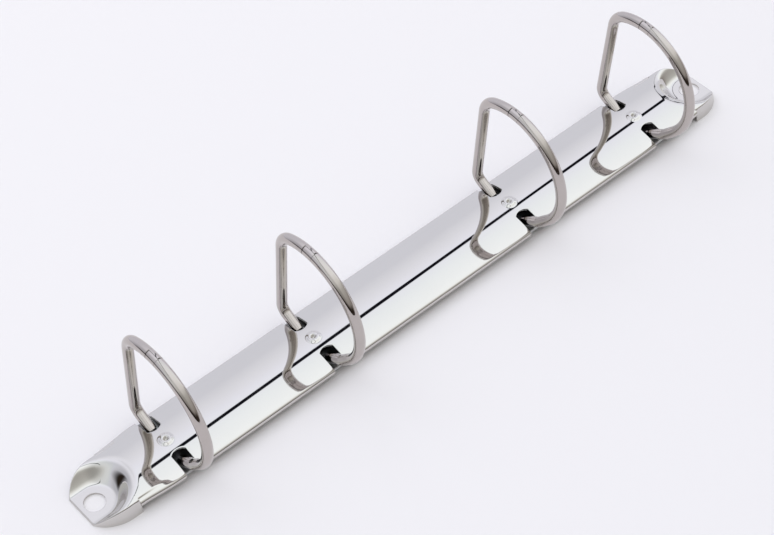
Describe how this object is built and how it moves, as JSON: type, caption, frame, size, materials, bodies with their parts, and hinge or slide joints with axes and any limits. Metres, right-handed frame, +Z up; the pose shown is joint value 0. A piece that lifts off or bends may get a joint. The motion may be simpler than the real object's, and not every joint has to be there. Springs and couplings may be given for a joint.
{
  "type": "ring binder mechanism",
  "caption": "Ring binder mechanism: an arched, nickel-plated housing holds two hinge plates that open its D-shaped wire rings together at stepped joints.",
  "frame": {"origin": "midway between the two rivet holes, on the plane that the housing is riveted down to", "axes": "+X along the housing, +Y towards the straight legs of the rings, +Z up from the mounting plane, towards the rings"},
  "size_m": [0.206, 0.0337, 0.0399],
  "materials": {
    "housing_nickel": "polished",
    "hinge_plate_steel": "satin",
    "ring_nickel": "polished"
  },
  "bodies": {
    "housing": {"housing": "housing_nickel"},
    "straight_side": {"straight_side_plate": "hinge_plate_steel", "straight_ring_half_1": "ring_nickel", "straight_ring_half_2": "ring_nickel", "straight_ring_half_3": "ring_nickel", "straight_ring_half_4": "ring_nickel"},
    "curved_side": {"curved_side_plate": "hinge_plate_steel", "curved_ring_half_1": "ring_nickel", "curved_ring_half_2": "ring_nickel", "curved_ring_half_3": "ring_nickel", "curved_ring_half_4": "ring_nickel"}
  },
  "joints": [
    {"name": "straight_side_hinge", "type": "hinge", "parent": "housing", "child": "straight_side", "pos_m": [0, 0.00945, 0.00255], "axis": [-1, 0, 0], "range_deg": [0, 15]},
    {"name": "curved_side_hinge", "type": "hinge", "parent": "housing", "child": "curved_side", "pos_m": [0, -0.00945, 0.00255], "axis": [1, 0, 0], "range_deg": [0, 15]}
  ],
  "couplings": [
    {"joint": "curved_side_hinge", "follows": "straight_side_hinge", "ratio": 1}
  ]
}
